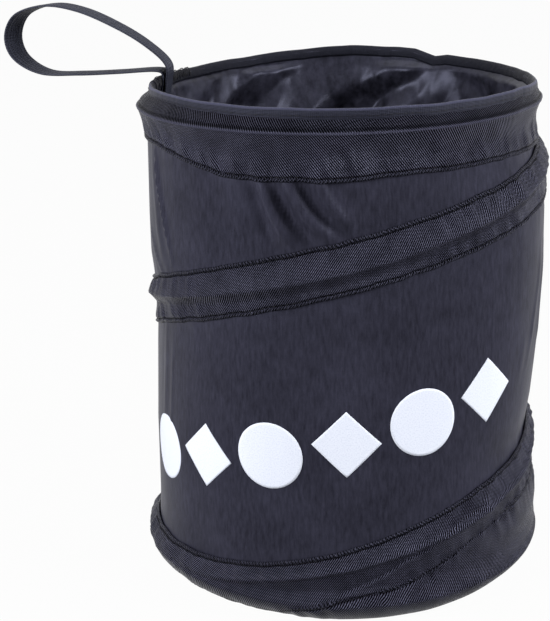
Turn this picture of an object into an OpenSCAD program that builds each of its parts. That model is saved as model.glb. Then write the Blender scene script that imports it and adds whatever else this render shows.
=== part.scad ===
// Pop-up car litter bin: a cloth cylinder held open by one coiled spring wire.
// The wire is a closed ring at the foot, a helix that climbs to the rim and a closed ring there.
// It runs in a tunnel of twill tape sewn to the outside of the cloth, and the rim can be pushed
// down to the foot. The origin is on the axis, on the underside of the base; -Y is the front.

/* [Body] */
// Height from the floor to the top of the rim binding
body_h = 203; // [190:1:240]
// Outside radius of the cloth wall at the rim
wall_rim_r = 76; // [70:0.5:90]
// Outside radius of the cloth wall at the foot ring, where it is widest
wall_foot_r = 80.4; // [74:0.2:96]
// Outside radius of the cloth wall where it tucks in at the floor
floor_r = 76.3; // [68:0.1:92]
// Thickness of the wall cloth
cloth_t = 0.5; // [0.3:0.1:0.8]
// Air left between one layer of cloth and the next
layer_gap = 0.3; // [0.25:0.05:0.5]

/* [Spring wire] */
// Diameter of the spring wire
wire_d = 1.6; // [1.2:0.1:1.8]
// Height of the foot ring
foot_ring_z = 9.5; // [8:0.5:14]
// Distance of the rim ring below the top of the binding
rim_ring_drop = 8.8; // [8:0.2:12]
// Rise of the helix in one turn
coil_pitch = 119; // [90:1:150]
// Height of the helix at the middle of the front, on its upper turn
coil_front_z = 143; // [120:1:150]
// Climb of each ring over its turn, so that its two ends lie one above the other
ring_climb = 2; // [1.9:0.1:2.2]
// How far each ring runs on past its own start, in degrees
ring_lap = 25; // [15:1:40]
// Length of the sleeve crimped over the two ends of a ring
ferrule_l = 7; // [5:0.5:8]
// Wall of that sleeve
ferrule_t = 0.3; // [0.2:0.05:0.35]

/* [Twill tape] */
// Thickness of the tape
tape_t = 0.6; // [0.4:0.1:0.8]
// How far the tunnel over the wire stands above the flat tape
tunnel_h = 3; // [3:0.1:4]
// Half of the tunnel's width
tunnel_half_w = 7; // [6.5:0.1:8]
// Height of the rim band's lower edge below the top of the binding
rim_band_drop = 26; // [20:0.5:34]
// Height of the base band round the left and the back
base_band_h = 21.5; // [18:0.5:26]
// How much taller the base band grows at the right
base_band_swell = 13; // [0:0.5:16]
// Where it is tallest, as an angle from +X
base_swell_az = -5; // [-40:1:40]
// Half of the angle over which it grows and shrinks again
base_swell_half = 70; // [40:1:100]
// Height of the helix band's upper edge above the wire, at the back and the sides
helix_up = 6.6; // [5:0.1:10]
// Width of the helix band from its upper to its lower edge
helix_w = 21; // [16:0.5:26]
// How much further up the wire the helix band rides across the front
helix_ride = 5; // [0:0.5:7]

/* [Rim] */
// Height of the rim binding
binding_h = 3.8; // [3:0.1:5]
// Thickness of the rim binding
binding_t = 0.5; // [0.3:0.1:0.8]

/* [Lining and base] */
// Thickness of the lining
lining_t = 0.4; // [0.3:0.1:0.6]
// Depth of the lining's loose folds
lining_slack = 6.5; // [0:0.5:8]
// Thickness of the base panel
base_t = 1.2; // [0.8:0.1:2]

/* [Handle] */
// Width of the webbing
strap_w = 10; // [8:0.5:14]
// Thickness of the webbing
strap_t = 1.1; // [0.8:0.1:1.3]
// Where the loop is sewn to the rim, as an angle from +X
strap_az = 171; // [165:1:180]
// Length of the two ends that are sewn inside the rim
strap_tail = 13; // [8:0.5:18]

/* [Print] */
// Number of shapes printed in a row across the front
print_count = 6; // [1:1:6]
// Size of each printed shape
print_size = 27; // [14:1:28]
// Height of the middle of the printed row
print_z = 72; // [64:1:84]
// Where the middle of the printed row is, as an angle from +X
print_az = -100; // [-110:1:-90]
// Angle from one printed shape to the next
print_step = 22; // [20:1:24]
// Climb of the printed row from one shape to the next
print_climb = 6.5; // [0:0.5:8]
// Thickness of the ink
ink_t = 0.15; // [0.1:0.05:0.25]

/* [Hidden] */
$fn = 96;

// Colours of the real cloth, metal and ink
wall_colour = "#32323c";
tape_colour = "#2a2a33";
lining_colour = "#3c3b49";
strap_colour = "#25262f";
wire_colour = "#9a9c9e";
ink_colour = "#ebf0fc";

// Angle between one cross-section and the next in a swept shape
sweep_step = 6;
// Number of points up one face of a tape
tape_rows = 11;
// Number of sides of the swept wire
wire_sides = 8;
// Height at which the wall, lining and rim band end, inside the binding
edge_z = body_h - binding_t - layer_gap;
rim_ring_z = body_h - rim_ring_drop;
rim_band_z = body_h - rim_band_drop;
// Distance of the wire's centre outside the wall
wire_stand = wire_d / 2 + 0.7;
wire_bore_r = wire_d / 2 + 0.25;
// Height of the lower edges of the wall and lining above the base panel
wall_low_z = base_t + layer_gap;
// Height at which the wall is widest, just under the foot ring's lower turn
wall_wide_z = foot_ring_z - ring_climb / 2 - wire_d;
// Outside radius of the rim band at the lower edge of the binding, and of the binding itself
binding_low_z = body_h - binding_h;
binding_leg_r = wall_r(binding_low_z) + layer_gap + tape_t
    + tunnel_h * hump((binding_low_z - ring_climb / 2 - rim_ring_z) / tunnel_half_w) + layer_gap;
lining_rim_r = wall_rim_r - cloth_t - layer_gap - lining_t;
// Height of the top of the lining's folds, just below the binding
fold_top_z = binding_low_z - 1;
// The two ends of the webbing lie flat between the wall and the lining
strap_out_r = wall_rim_r - cloth_t - 0.45 - strap_t / 2;
strap_in_r = strap_out_r - strap_t - 0.2;
// How far the lining makes room for them, down to which height, and half the angle of that room
pocket_z = edge_z - 1.2 * strap_tail;
pocket_d = wall_r(pocket_z) - cloth_t - strap_in_r + strap_t / 2 + layer_gap;
pocket_half = strap_w / 2 / wall_rim_r * 180 / PI + 3;
pocket_fade = 2;
// Angles along the wire: where the helix leaves the foot ring and reaches the rim ring
foot_t = coil_angle(foot_ring_z);
rim_t = coil_angle(rim_ring_z);
wire_start = foot_t - 360 - ring_lap;
wire_end = rim_t + 360 + ring_lap;
// Least height of the helix band at its two pointed ends
helix_end_h = 2;
helix_start = coil_angle(base_band_h + layer_gap + helix_end_h - helix_up - helix_ride * 0.8);
helix_end = coil_angle(rim_band_z - layer_gap - helix_end_h + helix_w - helix_up);

// A smooth hump: 1 in the middle, 0 at s = -1 and s = 1
function hump(s) = abs(s) >= 1 ? 0 : pow(cos(90 * s), 2);

// The larger and the smaller of two values, with the corner between them eased
ease = 3;
function eased_max(a, b) = (a + b + sqrt(pow(a - b, 2) + ease * ease)) / 2;
function eased_min(a, b) = -eased_max(-a, -b);

// Difference of two angles, from -180 to 180
function turn_between(a, b) = let (d = (a - b) % 360) d > 180 ? d - 360 : d < -180 ? d + 360 : d;

// Outside radius of the cloth wall: widest at the foot ring, tucked in below it
function wall_r(z) = z < wall_wide_z
    ? floor_r + (wall_foot_r - floor_r) * z / wall_wide_z
    : wall_foot_r + (wall_rim_r - wall_foot_r) * (z - wall_wide_z) / (body_h - wall_wide_z);

// The helix's height at an angle along the wire, and the angle at a height
function coil_z(t) = coil_front_z + coil_pitch * (t + 90) / 360;
function coil_angle(z) = -90 + 360 * (z - coil_front_z) / coil_pitch;

// Height of the wire: foot ring, helix and rim ring, each easing into the next
function foot_turn_z(t) = foot_ring_z + ring_climb * ((t - foot_t) / 360 + 0.5);
function rim_turn_z(t) = rim_ring_z + ring_climb * ((t - rim_t) / 360 - 0.5);
function wire_z(t) = eased_min(eased_max(coil_z(t), foot_turn_z(t)), rim_turn_z(t));

// How far the tape stands off at azimuth a and height z, over whichever turn of wire is there
function rise(a, z) = let (first = a + 360 * ceil((wire_start - a) / 360))
    tunnel_h * max([for (t = [first : 360 : wire_end]) hump((z - wire_z(t)) / tunnel_half_w)]);

// Upper edge of the base band, and the two edges of the helix band
function base_band_top(a) = base_band_h
    + base_band_swell * hump(turn_between(a, base_swell_az) / base_swell_half);
function helix_top(t) = min(rim_band_z - layer_gap,
    wire_z(t) + helix_up + helix_ride * max(0, cos(t + 90)));
function helix_low(t) = max(base_band_top(t) + layer_gap,
    wire_z(t) + helix_up + helix_ride * max(0, cos(t + 90)) - helix_w);

// Depth of the lining's folds: pillows that cross aslant, always inwards, none at their two ends
function fold(a, z) = let (s = max(0, min(1, (z - wall_low_z) / (fold_top_z - wall_low_z))))
    max(lining_slack * sqrt(sin(180 * s)) * (0.6 * abs(sin(6 * a + 320 * s + 25 * sin(600 * s)))
            + 0.4 * abs(sin(4.5 * a - 420 * s + 60))),
        pocket_d * pocket(a) * max(0, min(1, (z - pocket_z) / strap_tail + 1)));
// Room for the webbing's ends: full within the pocket's half angle, then fading out
function pocket(a) =
    max(0, min(1, (pocket_half + pocket_fade - abs(turn_between(a, strap_az))) / pocket_fade));

// A point at azimuth a, radius r and height z
function polar(a, r, z) = [r * cos(a), r * sin(a), z];

// A cross-section of cloth at azimuth a: up its outer face, then down its inner face.
// offsets gives the outer face's distance outside the wall at each height.
function cloth_section(a, heights, offsets, t) = concat(
    [for (i = [0 : len(heights) - 1]) polar(a, wall_r(heights[i]) + offsets[i], heights[i])],
    [for (i = [len(heights) - 1 : -1 : 0])
        polar(a, wall_r(heights[i]) + offsets[i] - t, heights[i])]);

// The same for tape that lies on the wall and rises over the wire
function tape_section(a, low, high) =
    let (heights = [for (i = [0 : tape_rows]) low + (high - low) * i / tape_rows])
    cloth_section(a, heights, [for (z = heights) layer_gap + tape_t + rise(a, z)], tape_t);

// A solid skin over a row of cross-sections, joined end to end or closed with caps
module skin(sections, closed) {
    m = len(sections);
    n = len(sections[0]);
    span = closed ? m : m - 1;
    // The squares of both faces are split along the same diagonal, so cloth keeps its thickness
    sides = [for (i = [0 : span - 1], j = [0 : n - 1])
        let (k = (i + 1) % m, l = (j + 1) % n)
        let (c = [i * n + j, i * n + l, k * n + l, k * n + j])
        each j < n / 2 ? [[c[0], c[1], c[2]], [c[0], c[2], c[3]]]
            : [[c[0], c[1], c[3]], [c[1], c[2], c[3]]]];
    // Each cap is a strip of squares across the section, from one of its faces to the other
    e = (m - 1) * n;
    caps = closed ? [] : [for (j = [0 : n / 2 - 2]) let (k = n - 1 - j) each [
        [j + 1, j, k], [j + 1, k, k - 1], [e + j, e + j + 1, e + k - 1], [e + j, e + k - 1, e + k]]];
    polyhedron(points = [for (s = sections) each s], faces = concat(sides, caps), convexity = 10);
}

// Angles of the cross-sections right round the body
function round_angles() = [for (a = [-180 : sweep_step : 180 - sweep_step]) a];
// Angles of the cross-sections from one angle to another, with both ends exact
function arc_angles(from, to) = let (n = ceil((to - from) / sweep_step))
    [for (i = [0 : n]) from + (to - from) * i / n];

// The cloth-covered disc that closes the foot and stands on the floor
module base_panel() {
    color(tape_colour) cylinder(r = floor_r - layer_gap, h = base_t);
}

// Twill tape round the foot ring
module base_band() {
    color(tape_colour)
        skin([for (a = round_angles()) tape_section(a, layer_gap, base_band_top(a))], true);
}

// The cloth cylinder
module outer_wall() {
    color(wall_colour) rotate_extrude() polygon(concat(
        [for (z = [wall_low_z, wall_wide_z, edge_z]) [wall_r(z), z]],
        [for (z = [edge_z, wall_wide_z, wall_low_z]) [wall_r(z) - cloth_t, z]]));
}

// A plain row of discs and lozenges in white ink, climbing to the right
module front_print() {
    low = print_z - print_climb * print_count / 2 - print_size;
    high = print_z + print_climb * print_count / 2 + print_size;
    ink_gap = 0.05;
    color(ink_colour) intersection() {
        rotate_extrude() polygon([
            [wall_r(low) + ink_gap, low], [wall_r(low) + ink_gap + ink_t, low],
            [wall_r(high) + ink_gap + ink_t, high], [wall_r(high) + ink_gap, high]]);
        union() for (i = [0 : print_count - 1]) {
            k = i - (print_count - 1) / 2;
            rotate([0, 0, print_az + print_step * k]) translate([0, 0, print_z + print_climb * k])
                rotate([90, 0, 90]) linear_extrude(height = 2 * wall_foot_r) print_shape(i);
        }
    }
}
// One printed shape: discs and lozenges by turns
module print_shape(i) {
    if (i % 2 == 0) circle(d = print_size);
    else rotate(45) square(print_size * 0.7, center = true);
}

// The lining's own disc, just above the base panel
module lining_floor() {
    color(lining_colour) translate([0, 0, wall_low_z])
        cylinder(r = floor_r - cloth_t - layer_gap, h = lining_t);
}

// Loose lining, hanging from the rim inside the wall
module lining() {
    rows = 7;
    heights = concat([wall_low_z],
        [for (i = [0 : rows]) wall_wide_z + (pocket_z - wall_wide_z) * i / rows],
        [fold_top_z, edge_z]);
    color(lining_colour) skin([for (a = round_angles())
        cloth_section(a, heights, [for (z = heights) -cloth_t - layer_gap - fold(a, z)], lining_t)],
        true);
}

// The spring wire in one piece
module coil_spring() {
    function wire_section(t) = let (z = wire_z(t), r = wall_r(z) + wire_stand)
        [for (i = [0 : wire_sides - 1]) let (b = 360 * i / wire_sides)
            polar(t, r + wire_d / 2 * cos(b), z + wire_d / 2 * sin(b))];
    color(wire_colour) skin([for (t = arc_angles(wire_start, wire_end)) wire_section(t)], false);
}

// An oval sleeve crimped over two wires, one above the other, at angle t along the lower one
module ferrule(t) {
    low = wire_z(t);
    high = wire_z(t + 360);
    rotate([0, 0, t]) translate([wall_r(low) + wire_stand, 0, 0]) rotate([90, 0, 0])
        linear_extrude(height = ferrule_l, center = true) difference() {
            oval(wire_bore_r + ferrule_t, low, high);
            oval(wire_bore_r, low, high);
        }
}
module oval(r, low, high) {
    translate([0, low]) circle(r = r);
    translate([0, high]) circle(r = r);
    translate([-r, low]) square([2 * r, high - low]);
}

// The sleeve that closes the foot ring
module foot_ferrule() {
    color(wire_colour) ferrule(wire_start + ring_lap / 3);
}

// Twill tape over the helix, pointed where it runs out at the two bands
module helix_band() {
    color(tape_colour) skin([for (t = arc_angles(helix_start, helix_end))
        tape_section(t, helix_low(t), helix_top(t))], false);
}

// The sleeve that closes the rim ring
module rim_ferrule() {
    color(wire_colour) ferrule(wire_end - 360 - ring_lap / 3);
}

// Twill tape over the rim ring
module rim_band() {
    color(tape_colour)
        skin([for (a = round_angles()) tape_section(a, rim_band_z, edge_z)], true);
}

// Tape folded over the raw edges at the rim, open inside where the webbing comes out
module rim_binding() {
    top = body_h - binding_t;
    inner_r = lining_rim_r - layer_gap;
    gap_half = pocket_half + pocket_fade + sweep_step;
    color(tape_colour) difference() {
        rotate_extrude() polygon([
            [binding_leg_r, binding_low_z], [binding_leg_r + binding_t, binding_low_z],
            [binding_leg_r + binding_t, top], [binding_leg_r, body_h],
            [inner_r, body_h], [inner_r - binding_t, top],
            [inner_r - binding_t, binding_low_z], [inner_r, binding_low_z],
            [inner_r, top], [binding_leg_r, top]]);
        rotate([0, 0, strap_az - gap_half]) rotate_extrude(angle = 2 * gap_half)
            translate([inner_r - 4, binding_low_z - 1])
                square([binding_leg_r - inner_r + 3, binding_h + 2]);
    }
}

// Route of the webbing: up from inside the rim, out and round to the left, and back down.
// Each entry is a point and the angle that the webbing's width is turned from the Y direction.
function at_rim(r, z) = polar(strap_az, r, z);
function off_rim(x, y, z) = [x - wall_rim_r, y, body_h + z];
strap_route = [
    [at_rim(strap_out_r, edge_z - strap_tail), 9],
    [at_rim(strap_out_r, edge_z - 3), 9],
    [at_rim(strap_out_r + 0.6, edge_z + 1), 9],
    [at_rim(strap_out_r + 4.6, body_h + 1.4), 10],
    [off_rim(-15, 17, 0), 14],
    [off_rim(-32, 21, -1), 19],
    [off_rim(-48, 26, -1), 28],
    [off_rim(-59, 29, 5), 36],
    [off_rim(-62, 30, 14), 38],
    [off_rim(-57, 29, 23), 36],
    [off_rim(-44, 25, 27), 30],
    [off_rim(-30, 21, 25), 22],
    [off_rim(-15, 16, 19), 16],
    [off_rim(-3, 13, 12), 11],
    [at_rim(strap_in_r + 0.3, body_h + 4), 9],
    [at_rim(strap_in_r, edge_z - 3), 9],
    [at_rim(strap_in_r, edge_z - strap_tail), 9],
];

// A smooth curve through a list of points or numbers, four at a time
function blend4(p, s) = p[1] + 0.5 * s * (p[2] - p[0]
    + s * (2 * p[0] - 5 * p[1] + 4 * p[2] - p[3] + s * (3 * p[1] - p[0] - 3 * p[2] + p[3])));
function smooth(list, cuts) = let (last = len(list) - 1) concat(
    [for (i = [0 : last - 1], j = [0 : cuts - 1])
        blend4([list[max(0, i - 1)], list[i], list[i + 1], list[min(last, i + 2)]], j / cuts)],
    [list[last]]);

// The webbing loop that the bin hangs by
module handle_strap() {
    path = smooth([for (p = strap_route) p[0]], 3);
    turns = smooth([for (p = strap_route) p[1]], 3);
    last = len(path) - 1;
    function unit(v) = v / norm(v);
    function strap_section(i) =
        let (along = unit(path[min(last, i + 1)] - path[max(0, i - 1)]),
            level = [-sin(turns[i]), -cos(turns[i]), 0],
            wide = unit(level - (level * along) * along) * strap_w / 2,
            thick = cross(wide, along) / strap_w * strap_t)
        [path[i] + wide + thick, path[i] - wide + thick,
            path[i] - wide - thick, path[i] + wide - thick];
    color(strap_colour) skin([for (i = [0 : last]) strap_section(i)], false);
}

base_panel();
base_band();
outer_wall();
front_print();
lining_floor();
lining();
coil_spring();
foot_ferrule();
helix_band();
rim_ferrule();
rim_band();
rim_binding();
handle_strap();
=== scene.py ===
import math

import bmesh
import bpy
import numpy as np
from mathutils import Matrix, Vector, noise


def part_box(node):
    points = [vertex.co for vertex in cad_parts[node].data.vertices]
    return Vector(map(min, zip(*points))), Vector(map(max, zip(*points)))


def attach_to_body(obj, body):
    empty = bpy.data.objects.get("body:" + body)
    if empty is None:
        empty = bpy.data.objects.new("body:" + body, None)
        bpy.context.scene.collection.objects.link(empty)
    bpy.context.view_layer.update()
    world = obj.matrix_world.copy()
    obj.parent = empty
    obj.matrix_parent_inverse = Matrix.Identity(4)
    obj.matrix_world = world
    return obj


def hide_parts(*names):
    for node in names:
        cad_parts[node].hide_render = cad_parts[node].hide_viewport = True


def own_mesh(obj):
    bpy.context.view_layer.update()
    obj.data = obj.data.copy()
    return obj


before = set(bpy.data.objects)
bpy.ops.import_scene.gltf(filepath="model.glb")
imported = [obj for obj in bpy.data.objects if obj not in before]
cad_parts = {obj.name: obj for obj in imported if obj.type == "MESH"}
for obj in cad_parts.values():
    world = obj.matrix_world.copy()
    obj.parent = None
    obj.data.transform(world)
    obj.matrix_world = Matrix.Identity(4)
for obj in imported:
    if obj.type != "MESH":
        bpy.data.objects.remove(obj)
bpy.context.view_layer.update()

# Pop-up car litter bin: sewn cloth and twill tape round one coiled spring wire.
# Lengths are in millimetres and angles in degrees until a mesh is made.
mm = 0.001
print("frame loaded")

# The cloth's main sizes, as the solids have them. midR is where lengths along it are measured,
# and tuck is how far short of its solid's edges it stops
form = {
    "rimTop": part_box("rim_binding")[1][2] / mm,
    "wallRimR": 76.0, "wallFootR": 80.4, "floorR": 76.3, "midR": 79.0,
    "wideZ": 6.9, "clothT": 0.5, "layerGap": 0.3, "tuck": 0.6,
    "edgeZ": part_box("outer_wall")[1][2] / mm, "lowZ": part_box("outer_wall")[0][2] / mm,
}
wire = {
    "diameter": 1.6, "stand": 1.5, "footRingZ": 9.5, "rimRingZ": 194.2,
    "pitch": 119.0, "frontZ": 143.0, "ringClimb": 2.0, "ringLap": 25.0, "ease": 3.0,
}
tape = {
    "tunnelH": 3.0, "rimLowZ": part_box("rim_band")[0][2] / mm, "baseH": 21.5,
    "helixUp": 6.6, "helixW": 21.0, "helixRide": 5.0, "helixStart": -548,
}
degree = math.radians(1) * form["midR"]     # millimetres along the cloth for one degree
unsewn = 50.0                               # distance given for an edge that isn't sewn down
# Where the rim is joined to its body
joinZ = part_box("rim_binding")[0][2] / mm


def hump(s):
    return np.where(np.abs(s) >= 1, 0.0, np.cos(np.pi / 2 * np.clip(s, -1, 1)) ** 2)


def smoothStep(s):
    s = np.clip(s, 0, 1)
    return s * s * (3 - 2 * s)


def bell(x, half):
    return np.exp(-(x / half) ** 2)


def turnBetween(a, b):
    return (np.asarray(a, float) - b + 180) % 360 - 180


def easedMax(a, b):
    return (a + b + np.sqrt((a - b) ** 2 + wire["ease"] ** 2)) / 2


def wallR(z):
    z = np.asarray(z, float)
    low = form["floorR"] + (form["wallFootR"] - form["floorR"]) * z / form["wideZ"]
    share = (z - form["wideZ"]) / (form["rimTop"] - form["wideZ"])
    return np.where(z < form["wideZ"], low,
                    form["wallFootR"] + (form["wallRimR"] - form["wallFootR"]) * share)


def coilZ(t):
    return wire["frontZ"] + wire["pitch"] * (t + 90) / 360


def coilAngle(z):
    return -90 + 360 * (z - wire["frontZ"]) / wire["pitch"]


footT, rimT = coilAngle(wire["footRingZ"]), coilAngle(wire["rimRingZ"])
wireStart = footT - 360 - wire["ringLap"]
wireEnd = rimT + 360 + wire["ringLap"]


def wireZ(t):
    foot = wire["footRingZ"] + wire["ringClimb"] * ((t - footT) / 360 + 0.5)
    rim = wire["rimRingZ"] + wire["ringClimb"] * ((t - rimT) / 360 - 0.5)
    return -easedMax(-easedMax(coilZ(t), foot), -rim)


# How taut tape falls away from the wire it covers: how far it reaches above and below the wire,
# and how hollow that slope is. flat makes the ridge lower at the right where the wire is low,
# and soft lets the tape hang slack in its first turn.
tent = {"above": 8.0, "below": 4.6, "rimBelow": 9.5, "hollow": 1.45, "crest": 0.09,
        "flatAz": -8, "flatHalf": 60, "flatShare": 0.3, "softBelow": 9.0, "softShare": 0.35,
        "footTuck": 7.0, "footRound": 1.8, "softFrom": -500, "softTo": -372, "rimZ": 170,
        "flatZ": 75, "ridge": 0.78, "ridgeHalf": 3.0, "coverHalf": 2.8}


# How far tape stands off over whichever turn of wire is there, or only to clear the wire
def rise(a, z, cover=False):
    best = np.zeros(np.broadcast(a, z).shape)
    for turn in range(-3, 4):
        t = a + 360.0 * turn
        here = (t >= wireStart) & (t <= wireEnd)
        apart = z - wireZ(t)
        soft = smoothStep((t - tent["softFrom"]) / 25) * smoothStep((tent["softTo"] - t) / 45)
        below = tent["below"] + (tent["rimBelow"] - tent["below"]) * smoothStep(
            (wireZ(t) - tent["rimZ"]) / 20) + tent["softBelow"] * soft
        s = np.where(apart > 0, apart / tent["above"], -apart / below)
        s = np.sqrt(s * s + tent["crest"] ** 2) - tent["crest"] * 0.6
        slope = np.clip(1 - s, 0, 1) ** tent["hollow"]
        flat = 1 - tent["flatShare"] * hump(turnBetween(t, tent["flatAz"]) / tent["flatHalf"]) \
            * smoothStep((tent["flatZ"] - wireZ(t)) / 20)
        value = np.maximum(slope * flat * (1 - tent["softShare"] * soft),
                           tent["ridge"] * hump(apart / tent["ridgeHalf"]))
        over = hump(apart / tent["coverHalf"]) if cover else value
        best = np.maximum(best, np.where(here, over, 0))
    return tape["tunnelH"] * best


# Below the foot's wire the tape turns in to the floor in one round slope
def footSlope(z):
    ring = wire["footRingZ"]
    s = np.clip((ring - z) / ring, 0, 1)
    reach = wallR(ring) + tape["tunnelH"] - tent["footTuck"] * s ** tent["footRound"]
    return np.where(z < ring, reach - wallR(z), 0.0)


# The tape winds on from the foot: its upper edge climbs from behind and becomes the helix band,
# and the base band's own upper edge comes out from under it at the front
baseEdge = {
    "az": [-180, -150, -116, -105, -97, -91.6, -85, -77.7, -72, -65.4, -58, -49, -36.4, -20, 0,
           30, 60, 90, 120, 150, 180],
    "z": [14, 12, 6, 7.2, 9.6, 11.9, 13.9, 15.6, 17.4, 21, 26, 31.2, 35.1, 36, 35, 32, 27, 23.5,
          21.5, 19, 14],
}
helixStartEdge = {
    "t": [-548, -531, -513, -505.8, -494.5, -485.3, -474, -464.7, -456.4, -448.8, -439.4, -430.1,
          -420.5, -410.1, -403.2, -394],
    "z": [14, 16.3, 16.6, 17.3, 18.7, 20.4, 23, 25.9, 28.8, 32.0, 36.0, 39.8, 43.9, 47.6, 50.0,
          52.6],
    "blendT": -402, "underT": -400, "under": 3.0, "floorT": -462, "floorZ": 0.3, "topIn": 3,
}


def baseBandTop(a):
    return np.interp(turnBetween(a, 0), baseEdge["az"], baseEdge["z"])


def helixEdges(t):
    top = wireZ(t) + tape["helixUp"] + tape["helixRide"] * np.maximum(0, np.cos(np.radians(t + 90)))
    low = top - tape["helixW"]
    first = np.interp(t, helixStartEdge["t"], helixStartEdge["z"])
    share = smoothStep((t - helixStartEdge["blendT"]) / 16)
    top = first + (top - first) * share
    # To the floor where the base band is still under it, then just behind the base band's edge
    under = np.minimum(low, baseBandTop(t) - helixStartEdge["under"])
    low = np.where(t < helixStartEdge["underT"], under, low)
    down = smoothStep((helixStartEdge["floorT"] - t) / 10)
    low = low + (helixStartEdge["floorZ"] - low) * down
    return low, np.minimum(tape["rimLowZ"] + helixStartEdge["topIn"], top)


# How far the rim band's lower edge is from its solid's, round the rim
rimEdge = {
    "az": [-180, -165, -153, -145, -137, -130, -125, -118, -100, -88, -79, -68, -40, -15, 120,
           150, 180],
    "up": [4.0, 4.4, 4.8, 3.6, 2.0, 0.4, -0.7, -1.3, -1.0, -0.9, 0.4, 0.8, 0.9, 0, 0.5, 2.2, 4.0],
}


def rimBandLow(a):
    return tape["rimLowZ"] + np.interp(turnBetween(a, 0), rimEdge["az"], rimEdge["up"])


# Which way the helix band lies: behind the base band at its start, behind the rim band
def layerHelix(t, z):
    start = 1 - smoothStep((t + 546) / 14)
    end = smoothStep((z - rimBandLow(t) + 1.0) / 1.5)
    return -0.5 * start - 0.5 * end


# The base band lies behind the helix band at the left of the front, and over it at the right
def layerBase(a):
    a = turnBetween(a, 0)
    under = smoothStep((a + 182) / 8) * smoothStep((-103.5 - a) / 5)
    over = smoothStep((a + 107) / 5) * smoothStep((-18 - a) / 12)
    return -0.5 * under + 0.45 * over


# Long soft folds and sharp creases that run across the wall and lift the tape over them:
# the points each passes through as (azimuth, height), its half width and its height
folds = [
    ([(-113.5, 180), (-108.5, 164), (-102, 150)], 2.7, 3.1),
    ([(-116.5, 177), (-112.6, 165), (-108, 149)], 2.2, -2.3),
    ([(-107, 180), (-99.4, 163.8), (-89.5, 151)], 2.4, 3.3),
    ([(-110, 177), (-103.4, 162.5), (-95.5, 150)], 1.7, -2.3),
    ([(-98, 182), (-93.5, 169), (-86, 157)], 2.3, 2.7),
    ([(-102.5, 178), (-97.0, 168), (-89, 157)], 1.7, -2.1),
    ([(-88, 180), (-83, 172), (-75, 162)], 4.0, 0.8),
    ([(-124, 178), (-120, 166), (-116, 152)], 4.0, 0.7),
    ([(-157.5, 186), (-154.8, 167), (-150.4, 153), (-146.5, 136)], 0.9, 1.3),
    ([(-166.5, 150), (-162, 141), (-156, 133), (-151, 127)], 0.9, 0.5),
    ([(-160, 182), (-158, 165), (-155.5, 148), (-151, 131)], 2.6, 0.5),
    ([(-150.5, 106), (-151.5, 80), (-152.5, 52)], 1.0, 0.35),
    ([(-156, 108), (-157, 84), (-158, 60)], 2.2, 0.35),
    ([(-15, 140), (-17, 122), (-20.5, 107), (-23.5, 90)], 1.6, 0.5),
    ([(-9, 135), (-12, 112), (-14, 88)], 2.4, 0.5),
    ([(-27, 104), (-29, 86)], 2.2, 0.3),
    ([(22, 150), (28, 128), (33, 104)], 3.0, 0.6),
    ([(48, 168), (55, 150), (60, 128)], 3.0, 0.7),
    ([(86, 172), (92, 150), (95, 128)], 3.4, 0.6),
    ([(100, 176), (107, 158), (115, 142)], 2.6, 0.7),
    ([(128, 174), (133, 156), (141, 138)], 3.0, 0.6),
    ([(150, 160), (154, 140), (157, 122)], 2.2, 0.5),
    ([(112, 74), (118, 56), (121, 34)], 3.2, 0.5),
    ([(60, 66), (66, 50), (70, 36)], 2.8, 0.5),
    ([(158, 92), (161, 70), (163, 44)], 2.6, 0.45),
]


# Where the cloth bellies out between the wires, as heights and millimetres, at two azimuths
swells = [
    {"az": -6, "half": 62, "heights": [0, 8, 14, 24, 34, 48, 58, 71, 85, 100, 129, 150, 161, 168,
                                       176, 190, 196, 203],
     "out": [-3.4, -0.6, 1.2, 2.0, 1.2, -0.8, -1.4, 0.8, 2.4, 4.0, 5.6, 5.8, 5.0, 3.6, 2.0, 0.4,
             0.2, 0]},
    {"az": -165, "half": 62, "heights": [0, 6, 14, 26, 60, 104, 112, 124, 134, 150, 185, 196, 203],
     "out": [2.8, 1.6, 0.9, 0.5, 0.7, -0.8, -1.4, 0.2, 1.5, 1.8, 1.8, 1.6, 0]},
]


def bodySwell(a, z):
    total = np.zeros(np.broadcast(a, z).shape)
    for swell in swells:
        total = total + hump(turnBetween(a, swell["az"]) / swell["half"]) * np.interp(
            z, swell["heights"], swell["out"])
    return total


# Height of the rim's edge right round, as the cloth sags and stands between its seams
rimHeights = {
    "az": [-180, -150, -30, -15, -1, 23, 43, 52, 56.5, 60, 64, 69.5, 86.4, 103, 121, 141, 161, 169,
           180],
    "up": [-1.2, 0, 0, -1.0, -2.2, -2.4, -2.0, -1.6, -2.6, -1.4, 0.1, 0.6, 1.2, 0.1, -1.3, -2.2,
           -2.2, -1.6, -1.2],
}


# How far the rim's edge is moved up, fading out down to the rim wire
def rimLift(a, z):
    a = turnBetween(a, 0)
    return np.interp(a, rimHeights["az"], rimHeights["up"]) * smoothStep((z - 193) / 8)


def foldField(a, z):
    field = np.zeros(np.broadcast(a, z).shape)
    for points, half, height in folds:
        best = np.full(field.shape, 1e9)
        along = np.zeros(field.shape)
        spans = len(points) - 1
        for i in range(spans):
            (a0, z0), (a1, z1) = points[i], points[i + 1]
            x, y = turnBetween(a, a0) * degree, z - z0
            dx, dy = turnBetween(a1, a0) * degree, z1 - z0
            s = np.clip((x * dx + y * dy) / (dx * dx + dy * dy), 0, 1)
            d = np.hypot(x - s * dx, y - s * dy)
            nearer = d < best
            best = np.where(nearer, d, best)
            along = np.where(nearer, (i + s) / spans, along)
        ends = smoothStep(along / 0.3) * smoothStep((1 - along) / 0.35)
        field += height * bell(best, half) * (0.25 + 0.75 * ends)
    return field


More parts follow.
